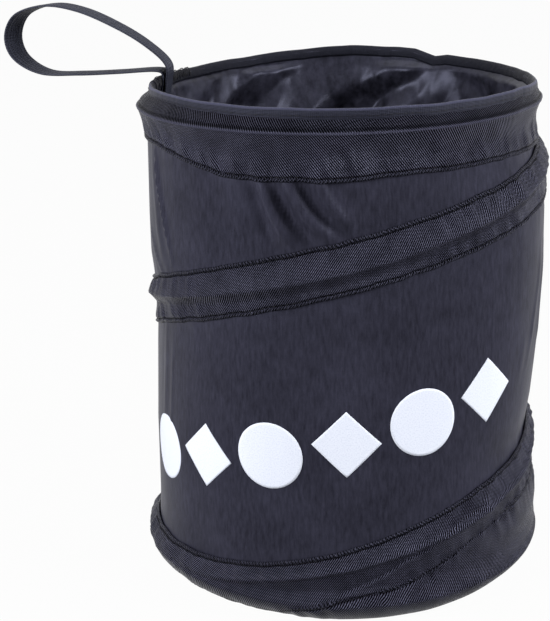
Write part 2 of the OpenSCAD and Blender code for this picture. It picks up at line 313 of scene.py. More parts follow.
# Smooth noise on the cylinder, from -1 to 1; across and up are its sizes in millimetres
def noiseField(a, z, across, up, seed):
    radius = form["midR"]
    shape = np.broadcast(a, z).shape
    flatA = np.broadcast_to(np.radians(a), shape).ravel()
    flatZ = np.broadcast_to(z, shape).ravel()
    x = radius / across * np.cos(flatA)
    y = radius / across * np.sin(flatA)
    values = [noise.noise(Vector((p, q, r))) for p, q, r in
              zip((x + seed * 7.3).tolist(), y.tolist(), (flatZ / up + seed).tolist())]
    return np.array(values).reshape(shape)


# Small puckers beside the stitch lines that cross the bare wall
def edgePull(a, z, size, seed):
    pucker = noiseField(a, z, size, 22.0, seed)
    near = np.exp(-np.clip(rimBandLow(a) - z, 0, None) / 5.0)
    for turn in range(-2, 2):
        t = a + 360.0 * turn
        here = (t > -470) & (t < rimT)
        low, top = helixEdges(t)
        for past, fade in ((low - z, 6.0), (z - top, 4.0)):
            pull = np.exp(-np.clip(past, 0, None) / fade) * (past >= 0)
            near = np.maximum(near, np.where(here, pull, 0))
    return pucker * near


rim = {"lean": 0.8, "pinch": 1.5, "pinchAz": 171.0, "pinchHalf": 26.0, "fromZ": 195.5}


# The rim sits a little off centre and is drawn in where the webbing is sewn
def rimLean(a, z):
    drawn = rim["lean"] * np.cos(np.radians(a)) - rim["pinch"] * hump(
        turnBetween(a, rim["pinchAz"]) / rim["pinchHalf"])
    return drawn * smoothStep((z - rim["fromZ"]) / 5.0)


def polar(a, r, z):
    a, r, z = np.broadcast_arrays(np.radians(a), r, z)
    return np.stack([r * np.cos(a), r * np.sin(a), z], axis=-1)


# An sRGB hex colour as linear RGBA
def hexLinear(text):
    parts = [int(text[i:i + 2], 16) / 255 for i in (1, 3, 5)]
    return [c / 12.92 if c <= 0.04045 else ((c + 0.055) / 1.055) ** 2.4 for c in parts] + [1.0]


def addNode(tree, kind, inputs=None, **settings):
    made = tree.nodes.new(kind)
    for name, value in settings.items():
        setattr(made, name, value)
    for name, value in (inputs or {}).items():
        if isinstance(value, bpy.types.NodeSocket):
            tree.links.new(value, made.inputs[name])
        else:
            made.inputs[name].default_value = value
    return made


def newMaterial(name):
    material = bpy.data.materials.new(name)
    material.use_nodes = True
    material.node_tree.nodes.clear()
    return material, material.node_tree


def ramp(tree, factor, stops):
    made = addNode(tree, "ShaderNodeValToRGB", {"Fac": factor})
    elements = made.color_ramp.elements
    while len(elements) < len(stops):
        elements.new(0.5)
    for element, (place, colour) in zip(elements, stops):
        element.position = place
        element.color = hexLinear(colour) if isinstance(colour, str) else (colour,) * 3 + (1,)
    return made.outputs["Color"]


def mixColour(tree, kind, amount, a, b):
    made = addNode(tree, "ShaderNodeMix", data_type="RGBA", blend_type=kind)
    for place, value in ((0, amount), (6, a), (7, b)):
        if isinstance(value, bpy.types.NodeSocket):
            tree.links.new(value, made.inputs[place])
        else:
            made.inputs[place].default_value = value
    return made.outputs[2]


def output(tree, kind, name, inputs=None, **settings):
    return addNode(tree, kind, inputs, **settings).outputs[name]


def maths(tree, operation, *values):
    return output(tree, "ShaderNodeMath", "Value", dict(enumerate(values)), operation=operation)


def between(tree, value, low, high, toLow=0.0, toHigh=1.0):
    return output(tree, "ShaderNodeMapRange", "Result", {
        "Value": value, "From Min": low, "From Max": high, "To Min": toLow, "To Max": toHigh})


stripe = 0.314      # how wide a wave texture's stripe is at scale 1


def waves(tree, place, size, way, distortion, detail, detailScale=1.0):
    return output(tree, "ShaderNodeTexWave", "Fac", {
        "Vector": place, "Scale": stripe / size, "Distortion": distortion, "Detail": detail,
        "Detail Scale": detailScale}, bands_direction=way)


def grains(tree, place, scale, detail, roughness=0.5, distortion=0.0, **settings):
    return addNode(tree, "ShaderNodeTexNoise", {
        "Vector": place, "Scale": scale, "Detail": detail, "Roughness": roughness,
        "Distortion": distortion}, **settings).outputs


def clothMap(tree, name="cloth"):
    return output(tree, "ShaderNodeUVMap", "UV", uv_map=name)


def upMap(tree, place):
    return output(tree, "ShaderNodeSeparateXYZ", "Y", {"Vector": place})


def turned(tree, place, angle):
    return output(tree, "ShaderNodeMapping", "Vector", {
        "Vector": place, "Rotation": (0, 0, math.radians(angle))})


# The surface: colour, height of the weave and, where it varies, the gloss of its threads
def finishSurface(tree, colour, height, look, gloss=None):
    inputs = {"Base Color": colour, "Roughness": look["roughness"],
              "Specular IOR Level": look["specular"] if gloss is None else gloss,
              "Specular Tint": hexLinear(look.get("tint", "#ffffff")),
              "Metallic": look.get("metallic", 0.0)}
    if look["bump"]:
        inputs["Normal"] = output(tree, "ShaderNodeBump", "Normal", {
            "Height": height, "Strength": look["bump"], "Distance": look["relief"] * mm})
    surface = output(tree, "ShaderNodeBsdfPrincipled", "BSDF", inputs)
    addNode(tree, "ShaderNodeOutputMaterial", {"Surface": surface})


# Plain-weave polyester taffeta, calendered smooth: fine slubbed threads and a dull satin gloss
taffeta = {
    "thread": 0.55,          # drawn about twice as coarse as the real yarn, so that it shows
    "crumple": 0.0, "crumpleSize": 16.0,
    "slubWide": 1.3, "slubLong": 6.0,
    "dark": "#24242e", "light": "#373745",
    "bump": 0.35, "relief": 0.12, "roughness": 0.4, "specular": 0.06,
    "tint": "#c2c6e6",
}


def makeTaffeta(name, look):
    material, tree = newMaterial(name)
    place = clothMap(tree)
    warp, weft = (waves(tree, place, look["thread"], way, 0.4, 1.0, 0.6) for way in "XY")
    weave = maths(tree, "MULTIPLY", warp, weft)
    stretched = output(tree, "ShaderNodeMapping", "Vector", {
        "Vector": place, "Scale": (1 / look["slubWide"], 1 / look["slubLong"], 1.0)})
    slub = grains(tree, stretched, 1.0, 4.0, 0.65)
    wide = grains(tree, place, 0.035, 2.0)
    tone = mixColour(tree, "MIX", 0.35, slub["Color"], wide["Color"])
    tone = output(tree, "ShaderNodeSeparateColor", "Red", {"Color": tone})
    colour = ramp(tree, tone, [(0.36, look["dark"]), (0.64, look["light"])])
    colour = mixColour(tree, "MULTIPLY", 0.35, colour,
                       ramp(tree, weave, [(0.0, 0.55), (1.0, 1.0)]))
    height = maths(tree, "MULTIPLY_ADD", weave, 0.35, slub["Fac"])
    if look["crumple"]:
        # Creases from being packed flat: sharp ridges that wander over the cloth
        creased = grains(tree, place, 1 / look["crumpleSize"], 2.0, 0.45, 0.6,
                         noise_type="RIDGED_MULTIFRACTAL")["Fac"]
        height = maths(tree, "MULTIPLY_ADD", creased, look["crumple"], height)
    finishSurface(tree, colour, height, look)
    return material


# Polyester twill tape, woven and dyed: raised diagonal wales, their crests painted light and the
# gaps between painted dark, a painted highlight and shade standing in for the filaments' glint
twill = {
    # above: how dark the painted shade above the rim wire is; bead: its painted highlight colour
    "wale": 0.76, "float": 1.6, "lean": 52.0, "rope": 1.1, "above": 0.5,
    "bead": "#363645",
    # dark and light: the wales' painted shade and highlight; hem: the float ends' painted highlight
    "dark": "#08080c", "light": "#5b5b70", "hem": "#3a3a48",
    "bump": 0.8, "relief": 0.28, "roughness": 0.31, "specular": 0.27, "sunk": 0.01,
    "tint": "#c2c6e6",
}


def makeTwill(name, look, paintedWireLight=False):
    material, tree = newMaterial(name)
    place = clothMap(tree)
    wale = waves(tree, turned(tree, place, 90 - look["lean"]), look["wale"], "X", 0.25, 0.0)
    floats = waves(tree, place, look["float"] / 2, "X", 0.8, 1.0, 1.5)
    raised = maths(tree, "MULTIPLY_ADD", floats, 0.16, wale)
    patch = ramp(tree, grains(tree, place, 0.11, 2.0, 0.6)["Fac"], [(0.32, 0.6), (0.66, 1.0)])
    # Painted highlight on the wale crests and painted shade between them
    crest = between(tree, raised, 0.35, 1.1)
    colour = ramp(tree, crest, [(0.0, look["dark"]), (0.45, look["dark"]), (1.0, look["light"])])
    colour = mixColour(tree, "MULTIPLY", 0.8, colour, patch)
    gloss = between(tree, crest, 0.0, 1.0, look["sunk"], look["specular"])
    gloss = maths(tree, "MULTIPLY", gloss, patch)
    if paintedWireLight:
        # Painted shade above the rim wire, where the tape is recessed, darkest in a thin groove
        # just above the wire, and a painted highlight along the fold over the wire
        share = between(tree, upMap(tree, place), -4.0, 4.0)
        paintedLight = ramp(tree, share, [(0.0, look["above"]), (0.22, look["above"]), (0.32, 0.25),
                                  (0.38, 0.25), (0.44, 1.0), (0.7, 1.0)])
        colour = mixColour(tree, "MULTIPLY", 1.0, colour, paintedLight)
        gloss = maths(tree, "MULTIPLY", gloss, paintedLight)
        bead = ramp(tree, share, [(0.42, 0.0), (0.46, 0.9), (0.5, 0.9), (0.58, 0.0)])
        colour = mixColour(tree, "MIX", bead, colour, hexLinear(look["bead"]))
    # The turned edge: a rope of slanting float ends, painted lighter on top as a painted highlight,
    # then painted shade along the sunk line of the stitches
    side = clothMap(tree, "edge")
    into = between(tree, upMap(tree, side), 0.0, 4.0)
    rope = waves(tree, turned(tree, side, 35), look["rope"], "X", 6.0, 2.0)
    inHem = ramp(tree, into, [(0.0, 0.5), (0.1, 0.9), (0.28, 0.9), (0.38, 0.0)])
    ropeTone = ramp(tree, rope, [(0.5, look["dark"]), (0.95, look["hem"])])
    colour = mixColour(tree, "MIX", inHem, colour, ropeTone)
    # Painted shade along the stitch line, where the tape is sunk
    paintedStitchShade = ramp(tree, into, [(0.32, 1.0), (0.4, 0.15), (0.46, 0.15), (0.56, 1.0)])
    colour = mixColour(tree, "MULTIPLY", 1.0, colour, paintedStitchShade)
    gloss = maths(tree, "MULTIPLY", gloss, paintedStitchShade)
    high = maths(tree, "MULTIPLY_ADD", maths(tree, "MULTIPLY", rope, inHem), 1.5, raised)
    finishSurface(tree, colour, high, look, gloss)
    return material


# Narrow woven binding tape, pressed over the edge: a close plain face with a faint rib along it
bindingLook = {
    "rib": 0.5, "dark": "#101117", "light": "#2f303c",
    "bump": 0.6, "relief": 0.16, "roughness": 0.45, "specular": 0.15,
    "tint": "#c2c6e6",
}


def makeRibbed(name, look, paintedLight=None):
    material, tree = newMaterial(name)
    place = clothMap(tree)
    ribs = waves(tree, place, look["rib"], "Y", 0.6, 1.0)
    picks = waves(tree, place, look["rib"] * 1.4, "X", 0.8, 1.0)
    weave = maths(tree, "MULTIPLY_ADD", picks, 0.5, ribs)
    colour = ramp(tree, weave, [(0.1, look["dark"]), (1.2, look["light"])])
    patch = grains(tree, place, 0.3, 3.0, 0.6)["Fac"]
    colour = mixColour(tree, "MULTIPLY", 0.6, colour, ramp(tree, patch, [(0.3, 0.7), (0.7, 1.0)]))
    if paintedLight:
        share = between(tree, upMap(tree, place), 0.0, 6.0)
        # Painted highlight along the binding's folded top edge
        edge = ramp(tree, share, [(0.62, 0.0), (0.7, 0.9), (0.78, 0.9), (0.86, 0.0)])
        # Painted shade on the binding's inner leg
        back = ramp(tree, share, [(0.84, 1.0), (0.96, 0.3)])
        # Painted shade at the outer leg's lower edge and along its stitch line
        groove = ramp(tree, share, [(0.0, 0.4), (0.08, 0.75), (0.25, 1.0), (0.3, 0.55),
                                    (0.35, 0.55), (0.4, 1.0)])
        colour = mixColour(tree, "MULTIPLY", 1.0, colour, back)
        colour = mixColour(tree, "MIX", edge, colour, hexLinear(paintedLight))
        colour = mixColour(tree, "MULTIPLY", 1.0, colour, groove)
    finishSurface(tree, colour, weave, look)
    return material


# Polypropylene webbing: heavy ribs along it, each a row of round bright picks
webbingLook = {
    "rib": 0.8, "dark": "#101117", "light": "#333541",
    "bump": 0.7, "relief": 0.2, "roughness": 0.45, "specular": 0.25,
    "tint": "#c2c6e6",
}
# Light lining taffeta, thin and crumpled, with a brighter filament gloss than the wall
liningLook = dict(taffeta, thread=0.5, slubWide=4.0, slubLong=5.0, crumple=1.8, crumpleSize=11.0,
                  dark="#0e0e14", light="#2f2f3b", roughness=0.36, specular=0.24)
# Bonded polyester sewing thread, glossier than the cloth so that each stitch catches the light.
# Its dark colour is partly the thread's own and partly painted shade for the sunk stitch holes
threadLook = {
    "colour": "#14141b", "share": 0.5, "tones": [(0.3, 0.5), (0.7, 1.0)], "grain": 0.35,
    "detail": 2.0, "spread": 0.5, "bump": 0.4, "relief": 0.05, "roughness": 0.55, "specular": 0.2,
}
# Screen-printed plastisol ink: white, matt, with the cloth's threads faint through it
inkLook = {
    "colour": "#ffffff", "share": 1.0, "tones": [(0.3, "#d3d9ea"), (0.55, "#e4e9f6")],
    "grain": 0.55, "detail": 3.0, "spread": 0.6, "bump": 0.25, "relief": 0.06, "roughness": 0.6,
    "specular": 0.3,
}
# Drawn spring steel wire: dull grey metal, streaked a little darker by the die
steelLook = {
    "colour": "#8d9093", "share": 0.4, "tones": [(0.35, 0.6), (0.65, 1.0)], "grain": 0.2,
    "detail": 2.0, "spread": 0.5, "bump": 0, "roughness": 0.35, "specular": 0.5, "metallic": 1.0,
}


# One colour with a fine grain in it; mapped where the grain follows the cloth's own map
def makeGrained(name, look, mapped=False):
    material, tree = newMaterial(name)
    place = clothMap(tree) if mapped else output(tree, "ShaderNodeTexCoord", "Object")
    size = look["grain"] if mapped else look["grain"] * mm
    grain = grains(tree, place, 1 / size, look["detail"], look["spread"])["Fac"]
    colour = mixColour(tree, "MULTIPLY", look["share"], hexLinear(look["colour"]),
                       ramp(tree, grain, look["tones"]))
    finishSurface(tree, colour, grain, look)
    return material


materials = {
    "wall": makeTaffeta("woven_polyester_taffeta", taffeta),
    "lining": makeTaffeta("light_lining_taffeta", liningLook),
    "tape": makeTwill("polyester_twill_tape", twill),
    # A copy of the twill with painted shade above the rim wire and a painted highlight over it
    "rimTape": makeTwill("polyester_twill_tape_painted_wire_light", twill, paintedWireLight=True),
    # The binding's painted highlight colour; it also turns on its painted shade
    "binding": makeRibbed("woven_binding_tape", bindingLook, paintedLight="#414255"),
    "webbing": makeRibbed("ribbed_polypropylene_webbing", webbingLook),
    "thread": makeGrained("bonded_polyester_thread", threadLook),
    "ink": makeGrained("screen_printed_ink", inkLook, mapped=True),
    "steel": makeGrained("drawn_spring_steel", steelLook),
}
print("materials made")


def addObject(name, data):
    made = bpy.data.objects.new(name, data)
    bpy.context.collection.objects.link(made)
    return made


# A sheet through a grid of points in millimetres: U runs round, V runs up its outer face. uv has
# one more column or row than the grid where that way closes on itself.
def clothObject(name, grid, uv, material, loopU=False, loopV=False, thick=0.0, edges=None):
    nu, nv = grid.shape[:2]
    spansU, spansV = nu if loopU else nu - 1, nv if loopV else nv - 1
    i, j = np.meshgrid(np.arange(spansU), np.arange(spansV), indexing="ij")
    i2, j2 = (i + 1) % nu, (j + 1) % nv
    faces = np.stack([i * nv + j, i2 * nv + j, i2 * nv + j2, i * nv + j2], axis=-1).reshape(-1, 4)
    mesh = bpy.data.meshes.new(name)
    mesh.from_pydata((grid.reshape(-1, 3) * mm).tolist(), [], faces.tolist())
    for mapName, values in (("cloth", uv), ("edge", edges)):
        if values is not None:
            layer = mesh.uv_layers.new(name=mapName)
            corners = np.stack([values[i, j], values[i + 1, j], values[i + 1, j + 1],
                                values[i, j + 1]], axis=2)
            layer.data.foreach_set("uv", corners.reshape(-1).astype(np.float32))
    mesh.shade_smooth()
    mesh.materials.append(material)
    made = addObject(name, mesh)
    if thick:
        solid = made.modifiers.new("thickness", "SOLIDIFY")
        solid.thickness = thick * mm
        solid.offset = -1.0
        solid.use_even_offset = False
    return made


def uvGrid(u, v):
    return np.stack(np.broadcast_arrays(u[:, None], v) if v.ndim == 2
                    else np.meshgrid(u, v, indexing="ij"), axis=-1)


def evenAngles(count):
    return np.linspace(-180, 180, count, endpoint=False)


def aroundU(a):
    return np.linspace(-180, 180, len(a) + 1) * degree


def closed(rows):
    return np.concatenate([rows, rows[:1]])


# Puts a piece on its body and hides the solids it stands for; with folds, it gets its own mesh
def attach(piece, body, slotName, *nodes, folds=True):
    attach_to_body(piece, body)
    if nodes:
        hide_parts(*nodes)
    if folds:
        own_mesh(piece)


# Outer wall: one smooth cloth cylinder under the tapes
wall = {"around": 400, "up": 130, "thick": 0.3, "slub": 0.1, "drape": 0.4, "pucker": 0.35}


def wallOffset(a, z):
    return (foldField(a, z)
            + wall["slub"] * noiseField(a, z, 5.0, 70.0, 3)
            + wall["drape"] * noiseField(a, z, 30.0, 60.0, 5)
            + wall["pucker"] * edgePull(a, z, 4.2, 7)) * smoothStep((z - 3) / 8)


def wallSurface(a, z):
    return bodyR(a, z) + wallOffset(a, z)


# The wall's radius with the body's larger shape in it
def bodyR(a, z):
    return wallR(z) + bodySwell(a, z) + rimLean(a, z)


def makeWall():
    a = evenAngles(wall["around"])
    z = np.linspace(form["lowZ"], form["edgeZ"] - form["tuck"], wall["up"])
    lift = rimLift(a[:, None], z[None, :])
    grid = polar(a[:, None], wallSurface(a[:, None], z[None, :]), z[None, :] + lift)
    piece = clothObject("outerWall", grid, uvGrid(aroundU(a), z), materials["wall"], loopU=True,
                        thick=wall["thick"])
    attach(piece, "base", "wall_cloth", "outer_wall")


# Twill tapes: each has a turned and stitched edge, a puckered strip beside it and a soft tunnel
band = {
    "around": 760, "turn": 0.55, "thick": 0.35, "flat": 0.95, "edgeRoll": 0.5,
    "stitchIn": 1.7, "valley": 0.4, "valleyHalf": 0.4, "hem": 0.25, "pucker": 1.0,
    "wrinkle": 0.35, "waver": 0.5, "rope": 0.06, "ropePitch": 2.6,
    "crease": 0.35, "creaseBelow": 4.8, "creaseHalf": 0.6, "held": 2.2, "hemIn": 0.9,
    "hemHalf": 0.5,
}
# Puckers beside a sewn edge: how far in from it, their half width and how strong they are
puckers = [(3.6, 2.4, 1.0), (7.5, 3.6, 0.55)]
# The fold over the rim wire: its ridge, the groove above it, and where the binding presses it
rimFold = {"ridge": 0.3, "ridgeHalf": 0.7, "groove": 0.35, "grooveUp": 1.7, "grooveHalf": 0.6,
           "pressed": 0.35, "pressedZ": 197}
# Short gathers of the base band where it crosses the helix band
gathers = {"az": -66, "half": 34, "below": 5.0, "reach": 3.2, "out": 1.1}


# The sharp line under the slanting wire, where the tape is tucked back in
def creaseLine(a, z):
    line = np.zeros(np.broadcast(a, z).shape)
    for turn in range(-2, 2):
        t = a + 360.0 * turn
        here = smoothStep((t + 400) / 30) * smoothStep((rimT - 20 - t) / 20)
        line = np.maximum(line, here * bell(z - wireZ(t) + band["creaseBelow"],
                                            band["creaseHalf"]))
    return line


# Distance of the tape's face outside the wall; fromLow and fromTop are the distances to its sewn
# edges, or unsewn
def tapeOffset(a, z, fromLow, fromTop, seed):
    edge = np.minimum(fromLow, fromTop)
    held = 1 - bell(edge, band["held"])
    pucker = noiseField(a + 0.25 * z, z, 3.8, 26.0, seed) * sum(
        share * bell(edge - place, half) for place, half, share in puckers)
    rope = np.cos(np.radians(a) * form["midR"] / band["ropePitch"] * 2 * np.pi)
    over = np.maximum(rise(a, z) * held, rise(a, z, cover=True)) - band["crease"] * creaseLine(a, z)
    over = np.maximum(over, footSlope(z))
    return (band["flat"] - band["edgeRoll"] * np.clip(1 - edge / 0.6, 0, 1) ** 2
            + (band["hem"] + band["rope"] * rope) * bell(edge - band["hemIn"], band["hemHalf"])
            - band["valley"] * bell(edge - band["stitchIn"], band["valleyHalf"])
            + over + band["pucker"] * pucker
            + band["wrinkle"] * noiseField(a, z, 14.0, 11.0, seed + 2) * held
            + foldField(a, z) * 0.75)


# Places up a tape of that width, from 0 to 1, close together at its sewn edges
def edgeRows(width, sewnLow, sewnTop, middle):
    near = np.array([0, 0.2, 0.45, 0.8, 1.2, 1.6, 1.9, 2.2, 2.6, 3.2])
    low = near if sewnLow else np.array([0.0])
    top = width - (near if sewnTop else np.array([0.0]))[::-1]
    inner = np.linspace(low[-1], top[0], middle + 2)[1:-1]
    return np.concatenate([low, inner, top]) / width


def waverLine(a, seed, amount):
    return amount * noiseField(a, np.zeros_like(a), 9.0, 1.0, seed)


# Height of the rim wire round the rim, eased down to its start where its ends are lapped
def ringLine(a):
    t = rimT + np.mod(a - rimT, 360)
    lap = wireZ(rimT + 360) - wireZ(rimT)
    return wireZ(t) - lap * smoothStep((t - rimT - 335) / 25)


def rimLowLine(a):
    return rimBandLow(a) + waverLine(a, 21, band["waver"])


def baseTopLine(a):
    return baseBandTop(a) + waverLine(a, 23, band["waver"])


def rowsBetween(low, top, rows):
    return low[:, None] + (top - low)[:, None] * rows[None, :]


# A tape along a, with one map for its weave and one that runs in from its nearest sewn edge
def tapePiece(name, a, z, offset, v, edge, material, ring=True, lift=0.0):
    grid = polar(a[:, None], bodyR(a[:, None], z) + offset, z + lift)
    u = aroundU(a) if ring else a * degree
    if ring:
        v, edge = closed(v), closed(edge)
    edges = np.stack([np.broadcast_to(u[:, None], edge.shape), edge], axis=-1)
    return clothObject(name, grid, uvGrid(u, v), materials[material], loopU=ring,
                       thick=band["thick"], edges=edges)


def makeRimBand():
    a = evenAngles(band["around"])
    low, top = rimLowLine(a), form["edgeZ"] - form["layerGap"]
    z = rowsBetween(low, top, edgeRows(top - tape["rimLowZ"], True, False, 46))
    offset = tapeOffset(a[:, None], z, z - low[:, None], np.full(z.shape, unsewn), 11)
    offset = offset - rimFold["pressed"] * smoothStep((z - rimFold["pressedZ"]) / 3)
    ring = ringLine(a)[:, None]
    offset = (offset + rimFold["ridge"] * bell(z - ring, rimFold["ridgeHalf"])
              - rimFold["groove"] * bell(z - ring - rimFold["grooveUp"], rimFold["grooveHalf"]))
    piece = tapePiece("rimBand", a, z, offset, ring - z, z - low[:, None], "rimTape",
                      lift=rimLift(a[:, None], z))
    attach(piece, "rim", "twill_tape", "rim_band")


# The base band, gathered in short puckers under its edge where it crosses the helix band
def baseOffset(a, z, top):
    gather = hump(turnBetween(a, gathers["az"]) / gathers["half"]) * bell(
        top - z - gathers["below"], gathers["reach"])
    return (tapeOffset(a, z, np.full(z.shape, unsewn), top - z, 13) + layerBase(a)
            + gathers["out"] * gather * noiseField(a, z, 2.6, 30.0, 61))


def makeBaseBand():
    a = evenAngles(band["around"])
    low, top = np.full(a.shape, 0.1), baseTopLine(a)
    z = rowsBetween(low, top, edgeRows(tape["baseH"], False, True, 22))
    offset = baseOffset(a[:, None], z, top[:, None])
    piece = tapePiece("baseBand", a, z, offset, z - 11, top[:, None] - z, "tape")
    attach(piece, "base", "twill_tape", "base_band")


# Angles along the helix band, and its two edges with the waver of hand sewing
def helixRun():
    end = coilAngle(tape["rimLowZ"] - form["layerGap"] - 2 + tape["helixW"] - tape["helixUp"])
    start = tape["helixStart"]
    t = np.linspace(start, end, int((end - start) / band["turn"]) + 1)
    low, top = helixEdges(t)
    waver = band["waver"] * smoothStep((t + 470) / 10)
    return t, low + waverLine(t, 25, 1.0) * waver, top + waverLine(t, 27, band["waver"])


# The short seam low down at the front, where two lengths of the tape are lapped
lapSeam = {"t": [-456, -447.6, -440.3, -433, -425.7, -415.1, -406.4],
           "z": [9, 15.2, 19.7, 26.3, 30.1, 38.1, 40.5], "step": 0.5, "pleat": 0.9,
           "from": -458, "to": -405.5, "pleatZ": 40, "grooveUp": 0.4, "groove": 0.5}


def lapShape(t, z):
    away = z - np.interp(t, lapSeam["t"], lapSeam["z"])
    here = smoothStep((t - lapSeam["from"]) / 8) * smoothStep((lapSeam["to"] - t) / 2)
    pleat = lapSeam["pleat"] * bell(t - lapSeam["to"], 1.3) * bell(z - lapSeam["pleatZ"], 4.0)
    groove = lapSeam["groove"] * bell(away - lapSeam["grooveUp"], 0.5)
    return here * (lapSeam["step"] * smoothStep(0.5 - away / 1.2) - groove) + pleat


def helixOffset(t, z, low, top):
    fromLow = z - low + 6 * smoothStep((-455 - t) / 15)
    return (tapeOffset(t, z, fromLow, top - z, 15) + layerHelix(t, z)
            + lapShape(t, z) * smoothStep((z - low) / 2))


def makeHelixBand():
    t, low, top = helixRun()
    z = rowsBetween(low, top, edgeRows(tape["helixW"], True, True, 18))
    offset = helixOffset(t[:, None], z, low[:, None], top[:, None])
    edge = np.minimum(z - low[:, None], top[:, None] - z)
    piece = tapePiece("helixBand", t, z, offset, z - wireZ(t)[:, None], edge, "tape", ring=False)
    attach(piece, "base", "twill_tape", "helix_band")


makeWall()
makeRimBand()
makeBaseBand()
makeHelixBand()
print("wall and tapes made")

# Lining: loose cloth that hangs from the rim and folds inwards
lining = {"around": 480, "up": 150, "thick": 0.2, "big": 6.5, "wander": 5.0, "small": 2.0,
          "tiny": 0.5, "inset": 0.7, "behind": -0.35, "pocket": 3.6, "slope": 0.62, "slant": 0.9}
# How the cloth hangs just below the rim's back: which way it tips, from tucked under to falling
# inwards, and how far it stands off there
liningTips = {
    "az": [-30, 0, 20, 40, 46, 51, 57, 63, 68, 78, 84, 92, 100, 108, 112, 117, 127, 132, 140, 144,
           151, 158, 165, 190],
    "tip": [0, 0.1, 0.2, 0.3, 0.3, 0.6, 0.9, 0.6, -0.8, -0.9, 0.2, 0.8, 0.6, 0.8, 0.1, -0.9, -0.8,
            0.3, 0.4, -0.5, 0.8, 0.9, 0.3, 0],
    "stand": [1.5, 0.6, 0.5, 0.5, 0.8, 2.2, 3.6, 4.0, 4.4, 4.4, 3.2, 3.2, 3.4, 3.4, 3.6, 4.2, 4.0,
              3.0, 3.0, 3.0, 3.4, 3.4, 3.0, 2.0],
}


# How far the lining falls inside the wall: the solid's pillows, with creases of its own
def liningDepth(a, z):
    low, top = form["lowZ"], joinZ - 1
    s = np.clip((z - low) / (top - low), 0, 1)
    hang = np.clip(1.4 * np.abs(np.sin(np.pi * s)) ** 0.3, 0, 1)
    wander = lining["wander"] * noiseField(a, z, 34.0, 30.0, 31)
    b = np.radians(a + wander)
    pillows = (0.6 * np.abs(np.sin(6 * b + np.radians(320 * s + 25 * np.sin(np.radians(600 * s)))))
               + 0.4 * np.abs(np.sin(4.5 * b - np.radians(420 * s - 60))))
    small = np.abs(noiseField(a - 0.35 * z, z, 15.0, 21.0, 35)) / 0.45
    tiny = np.abs(noiseField(a + 0.2 * z, z, 7.0, 10.0, 36)) / 0.45
    fold = (lining["big"] * pillows + lining["small"] * np.clip(small, 0, 1.3)
            + lining["tiny"] * np.clip(tiny, 0, 1.3))
    # The folds that can be seen over the rim
    lean = a + lining["slant"] * (z - 188) * hump(turnBetween(a, 90) / 110) + 0.6 * wander
    lean = turnBetween(lean, 80) + 80
    tip = np.interp(lean, liningTips["az"], liningTips["tip"])
    stand = np.interp(lean, liningTips["az"], liningTips["stand"])
    seen = (np.clip(stand + tip * lining["slope"] * (189 - z), 0.3, 9.0)
            + 0.8 * small + 0.4 * tiny)
    back = smoothStep((z - 158) / 14) * smoothStep(1.5 - np.abs(turnBetween(a, 85)) / 72)
    fold = fold + (seen - fold) * back
    hang = np.clip(hang, 0, smoothStep((joinZ - 1.2 - z) / 4.5))
    pocket = lining["pocket"] * hump(turnBetween(a, rim["pinchAz"]) / 13) * smoothStep(
        (z - 172) / 12) * smoothStep((joinZ - z) / 3)
    # Held behind the binding's inner leg, then a little way in from the wall
    behind = lining["behind"] + (lining["inset"] - lining["behind"]) * smoothStep((joinZ - z) / 3)
    return behind + np.maximum(hang * fold, pocket)


def makeLining():
    a = evenAngles(lining["around"])
    z = np.linspace(form["lowZ"] + form["tuck"], form["edgeZ"] - form["tuck"], lining["up"])
    depth = liningDepth(a[:, None], z[None, :])
    r = bodyR(a[:, None], z[None, :]) - form["clothT"] - form["layerGap"] - depth
    lift = rimLift(a[:, None], z[None, :])
    grid = polar(a[:, None], r, z[None, :] + lift)[::-1]     # the face that shows is the inner one
    u = np.linspace(180, -180, len(a) + 1) * degree
    piece = clothObject("liningCloth", grid, uvGrid(u, z), materials["lining"], loopU=True,
                        thick=lining["thick"])
    attach(piece, "base", "lining_cloth", "lining")


makeLining()
print("lining made")

# Rim binding: a narrow tape folded over the raw edges, wavy where it is drawn in
binding = {"around": 900, "outR": 77.5, "ruck": 0.3, "ruckUp": 0.3, "nearTop": 202.0}


# The folded tape's outline round its edge, as (radius, height) from its top outer corner
def bindingSection():
    return np.array([
        (-0.35, -4.2), (0.0, -4.3), (0.18, -4.0), (0.22, -3.0), (0.16, -1.8), (0.02, -0.8),
        (-0.15, -0.3), (-0.4, -0.08), (-0.7, -0.02), (-1.0, -0.12), (-1.35, -0.45),
        (-1.8, -1.1), (-2.25, -2.2), (-2.5, -3.3), (-2.5, -4.3), (-2.1, -4.3), (-2.05, -3.0),
        (-1.5, -1.6), (-0.9, -0.9), (-0.45, -1.8)])


# How far the binding is moved outwards and up at azimuth a
def bindingShape(a):
    near = hump(turnBetween(a, rim["pinchAz"] + 4) / 24)
    level, high = np.zeros_like(a), np.full_like(a, binding["nearTop"])
    gather = np.sin(np.radians(a * 64)) * 0.5 + noiseField(a, level, 1.6, 1.0, 45)
    out = (binding["ruck"] * noiseField(a, level, 7.0, 1.0, 41) + 0.35 * near * gather
           + 0.12 * noiseField(a, level, 2.4, 1.0, 46))
    up = (binding["ruckUp"] * noiseField(a, level, 13.0, 1.0, 43) + 0.3 * near * gather
          + rimLift(a, high))
    return out + rimLean(a, high) + bodySwell(a, high), up


